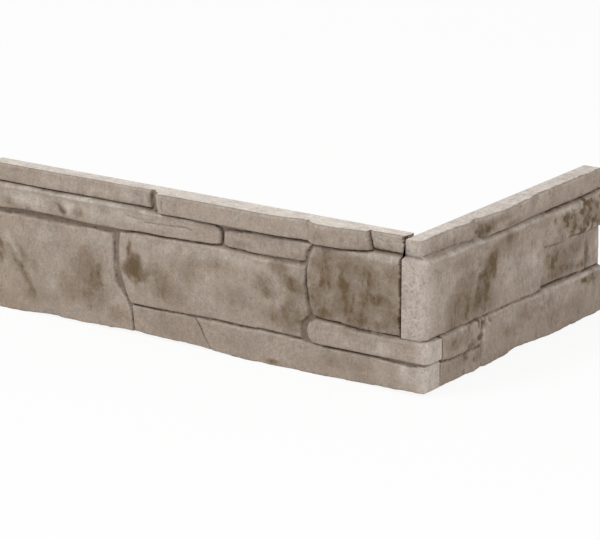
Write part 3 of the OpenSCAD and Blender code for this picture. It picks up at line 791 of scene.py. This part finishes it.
# Short panel: the other casting, 208 mm along its back and struck 1.6 mm lower. Its
# high courses run over the long panel's fingers and show their rough end.
short_length = round(1000 * cad_bounds[1][1], 1)
short_height = 98.4
short_stones = [
    {"keys": [[-10.8, -10.8, 88, short_height, 12.2], [14, 14, 87.4, short_height, 11.6],
              [32, 32, 87, short_height, 12.2], [43, 43, 86.8, short_height, 14],
              [51.4, 50.8, 86.5, short_height, 12.6]],
     "near": 0, "nose": 4.2, "edge": 2.2, "lump": 0.4},
    {"keys": [[52.2, 51.7, 86, short_height, 11.6], [56, 56, 85.6, short_height, 11.8],
              [61, 61, 85.2, short_height, 14.4], [90, 90, 85.6, short_height, 15.6],
              [116, 116, 85.6, short_height, 14.4], [130, 130, 84.8, short_height, 13.2],
              [156, 156, 84.6, short_height, 13.2], [180, 180, 84.8, short_height, 13.8],
              [short_length, short_length, 85, short_height, 13.2]],
     "far": 0, "edge": 1.3, "lump": 0.5},
    {"keys": [[-15, -15, 35.5, 86.8, 17.2], [9, 9, 35.5, 86, 16.8], [39, 39, 35.5, 85.6, 16.6],
              [60, 60, 35.4, 84.6, 16.8], [80, 80, 35, 83.8, 16.6], [105, 105, 34.5, 84.1, 16.2],
              [120, 122, 33.7, 83.4, 16, 1], [128.6, 133.2, 33.7, 82.8, 15, 2.2]],
     "near": 0, "nose": 4.8, "slope": 2.0, "lump": 0.7, "edge": 1.5},
    {"keys": [[130.6, 130.6, 61.6, 82.8, 14.4], [139, 139, 61.2, 83.2, 16],
              [153, 153, 60.2, 83.4, 17], [162, 162, 62.5, 83.6, 17.2],
              [168, 168, 62.1, 83.6, 17.4], [183, 183, 60, 83.6, 17.2],
              [189, 189, 61.2, 83.8, 17], [short_length, short_length, 60.6, 84, 17]],
     "near": 1.3, "far": 0, "bed": 3.4, "lump": 1.3, "ragged": 0.8},
    {"keys": [[131.4, 133.6, 34.3, 60.9, 11.8], [158, 158, 34, 60.4, 12.6],
              [172, 172, 33.5, 61.6, 12.8], [192, 192, 32.9, 60.6, 12.4],
              [short_length, short_length, 32.3, 60.2, 12.4]],
     "far": 0, "edge": 0.8, "lump": 0.6},
    {"keys": [[0.3, 0.3, 19.6, 34.3, 18.2], [10, 10, 18.4, 34.3, 18], [17, 17, 17.2, 34.3, 17.8],
              [45, 45, 16.6, 34.3, 17.4], [52.6, 52.8, 16.8, 34.3, 16.8]],
     "near": 0.5, "far": 0.5, "lump": 0.6},
    {"keys": [[0.3, 0.3, 1.7, 18.4, 17.4], [10, 10, 1.7, 17.2, 17.2], [17, 17, 1.6, 16, 17],
              [45, 45, 0.8, 15.4, 17], [52.8, 52.8, 1.6, 15.6, 16.4]],
     "near": 0.5, "far": 0.5, "lump": 0.7},
    {"keys": [[52.5, 52.9, 1.5, 34, 16.6], [60, 60, 0.5, 34.2, 16.6], [80, 80, 0.5, 33.8, 16],
              [97, 97, 2.8, 33.4, 15.8], [105, 105, 2.2, 33.3, 16], [122, 122, 1.1, 32.5, 16.2],
              [140, 140, 0.4, 33.1, 16.4], [162, 162, 0, 32.7, 16.2], [192, 192, 0, 31.7, 16],
              [short_length, short_length, 0, 31.1, 16]],
     "far": 0, "lump": 0.7},
]
# Wavy foot, cracks, brown stains, peppery stains, and pale places with painted highlights
# on the ledges, in the long panel's terms
short_foot = np.array([
    [-15, 1.8], [22, 1.6], [47, 0.7], [52, 1.6], [54, 1.9], [57, 0.9], [62, 0.4], [78, 0.4],
    [88, 0.8], [97, 2.8], [115, 1.4], [140, 0.4], [162, 0], [164.5, 0.9], [167, 1.0],
    [169.5, 0], [short_length, 0]])
short_cracks = [
    ([(192.6, 45), (191.5, 40), (189.5, 33)], 0.8, 0.4),
    ([(134, 60.4), (153, 60), (162, 61.8), (172, 61.2), (183, 59.8), (192, 60.6),
      (short_length, 60.3)], 0.9, 0.95),
    ([(163, 82), (168, 74), (166, 66)], 0.8, 0.5),
    ([(182, 82), (178, 74), (184, 66)], 0.8, 0.5),
    ([(56, 96), (59, 90), (57, 86)], 0.8, 0.5),
]
short_spots = [
    (60, 66, 14, 13, 40, 1.4), (66, 70, 8, 12, -30, 0.8), (54, 54, 17, 15, 60, 1.1),
    (44, 46, 20, 13, 0, 0.8), (36, 60, 18, 14, 0, 0.45), (74, 74, 8, 10, -30, 0.45),
    (24, 50, 18, 18, 0, 0.5), (60, 42, 18, 8, 0, 0.5), (88, 74, 12, 12, 40, 0.4),
    (84, 80, 14, 5, 0, 0.4), (30, 76, 20, 6, 0, 0.3), (20, 38, 16, 5, 0, 0.35),
    (59, 89, 8, 6, 0, 0.9), (66, 92, 9, 6, 0, 0.7), (82, 93, 14, 4, 0, 0.4),
    (92, 88, 12, 3, 0, 0.45), (22, 26, 18, 8, 0, 0.35), (50, 12, 8, 9, 0, 0.3),
    (28, 14, 14, 8, 0, 0.45), (26, 91, 14, 4, 0, 0.2), (165, 72, 24, 12, 0, 0.45),
    (182, 76, 20, 10, 0, 0.55), (150, 64, 12, 4, 0, 0.4), (196, 68, 12, 8, 0, 0.4),
    (160, 47, 28, 13, 0, 0.45), (191, 43, 4.5, 14, 0, 1.3), (182, 38, 20, 5, 0, 0.5),
    (150, 38, 22, 6, 0, 0.45), (176, 52, 16, 8, 0, 0.35), (170, 14, 22, 9, 0, 0.25),
    (192, 27, 16, 4, 0, 0.6), (110, 24, 20, 8, 0, 0.2), (90, 16, 20, 9, 0, 0.25),
    (140, 12, 20, 8, 0, 0.2), (120, 70, 14, 10, 0, 0.15),
]
short_pepper = [
    (46, 31, 11, 7, 0, 1.5), (60, 31, 9, 6, 0, 1.3), (46, 21, 11, 7, 0, 1.4),
    (38, 10, 13, 9, 0, 1.5), (172, 74, 30, 14, 0, 1.8), (194, 72, 20, 14, 0, 1.8),
    (160, 78, 18, 8, 0, 1.4), (184, 62, 18, 5, 0, 1.5), (191, 28, 20, 5.5, 0, 1.3),
    (180, 64, 24, 4, 0, 1.2), (160, 46, 30, 14, 0, 0.5), (56, 62, 24, 20, 0, 0.4),
    (60, 90, 16, 7, 0, 0.6), (30, 26, 20, 8, 0, 0.4), (130, 24, 40, 14, 0, 0.3),
]
short_washes_and_highlights = [
    (100, 55, 26, 24, 30, 0.5), (120, 62, 14, 24, 0, 0.5), (110, 83, 40, 2.6, 0, 0.8),
    (30, 85.5, 50, 2.8, 0, 0.9), (60, 22, 5, 16, 0, 0.8), (56.5, 19, 2.8, 13, 0, 1.4),
    (140, 24, 34, 10, 0, 0.35), (205, 45, 3.5, 14, 0, 0.9), (140, 76, 10, 9, 0, 0.4),
    (6, 60, 14, 28, 0, 0.4), (120, 93, 50, 6, 0, 0.35), (20, 95, 26, 5, 0, 0.4),
    (165, 81.5, 44, 2.4, 0, 0.6), (160, 31, 50, 2.4, 0, 0.5), (90, 24, 16, 8, 0, 0.4),
]

# The low courses start at the lap, against the long panel's fingers, and the high ones
# run over the lap's top to their own ends, with a joint between them.
short_columns = 300
lap = 0.3
lap_top = 35.5
lap_foot = 1.8
cap_ends = [(15.0, 34.5, 87.1, 1.2), (10.8, 87.6, short_height, 2.0)]
cap_joint = 10.2
short_bed = 1.6
short_limit = 18.3

column, nearer, further = column_places(short_columns)
z_flat = 0 * column + np.where(
    is_low, lap_foot + (lap_top - row_gap - lap_foot) * share_low,
    lap_top + (short_height - lap_top) * share_high)
short_end = end_line(z_flat[0], cap_ends, cap_joint)
u = np.where(~is_low & (column < 1), short_end + (lap - short_end) * nearer,
             lap + (short_length - lap) * further)
ground = np.interp(u, short_foot[:, 0], short_foot[:, 1])
z = np.where(is_low, ground + (lap_top - row_gap - ground) * share_low, z_flat)
d, inside = carved(u, z, short_stones, short_bed)
cracks = scored(u, z, short_cracks)
d = np.clip(d - cracks, thinnest, short_limit)
d = np.where((column < 1) & is_low, d * nearer, d)
end_d = d[0, :, None] * np.linspace(1, 0, turn_steps + 1)
end_u = np.where(is_low.T, lap, u[0, :, None] + torn_end(end_d, z[0, :, None], 2.2, 0.6, 71))
u[0] = end_u[:, 0]
# Painted shade on the corner end: the low courses' end against the fingers fully dark, the high courses'
# end in its hollows
end_dirt_and_shade = np.where(is_low[0], 1.0, 0.75 * sunk(-short_end[None, :], (1,))[0])
# Less dirt and painted shade on the ledge over the big stone and at the hackled stone's
# near end, and a dark line of dirt and painted shade where the low stones meet the long panel's fingers
ledge = np.clip((132 - u) / 3, 0, 1) * np.clip((z - 82) / 2, 0, 1)
hackled = np.clip((156 - u) / 12, 0, 1) * np.clip((u - 129) / 3, 0, 1) * (z > 50) * (z < 82)
dirt_and_shade_by_finger = np.clip((np.where(z > 19.5, 4.9, 3.6) - u) / 0.8, 0, 1) * (z < lap_top)
dirt_and_shade = np.where(column < 1.01, hollow(d, inside, (1,)), hollow(d, inside))
dirt_and_shade = dirt_and_shade * (1 - 0.5 * ledge - 0.7 * hackled)
dirt_and_shade = np.maximum(np.maximum(dirt_and_shade, 0.7 * cracks), dirt_and_shade_by_finger)
peppery = np.clip(0.2 + 2.4 * layered(u, z, 4.5, 306, 3), 0, 1.3)
stain = blotted(u, z, short_spots, 303) + peppery * blotted(u, z, short_pepper, 305)
short_panel = cast_panel(
    "short_casting", u, d, z, end_u, end_dirt_and_shade, low_rows, turn_steps, (False, True), {
        "stain": np.minimum(stain, 1),
        # Pale places plus painted highlights on the ledges and upper edges
        "wash": blotted(u, z, short_washes_and_highlights, 304) + 0.5 * crest_wear_and_highlight(d),
        "joint": dirt_and_shade,
        "raw": np.clip(0.55 - (u + 15) / 30, 0, 0.44) * (z > lap_top - 0.1)},
    lambda p: np.stack([p[:, 1], p[:, 0], p[:, 2]], -1) / 1000)
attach(short_panel, "root")
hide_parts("short_panel")
# The Dirt tone darkens the joints both as dirt and as painted shade
short_panel.data.materials.append(concrete_finish("short_panel_concrete", {
    "Base": (0.375, 0.3, 0.245), "Wash": (0.53, 0.465, 0.405), "Stain": (0.12, 0.077, 0.036),
    "Dirt_and_shade": (0.092, 0.057, 0.035), "Raw": (0.74, 0.675, 0.62)}, 1.2))
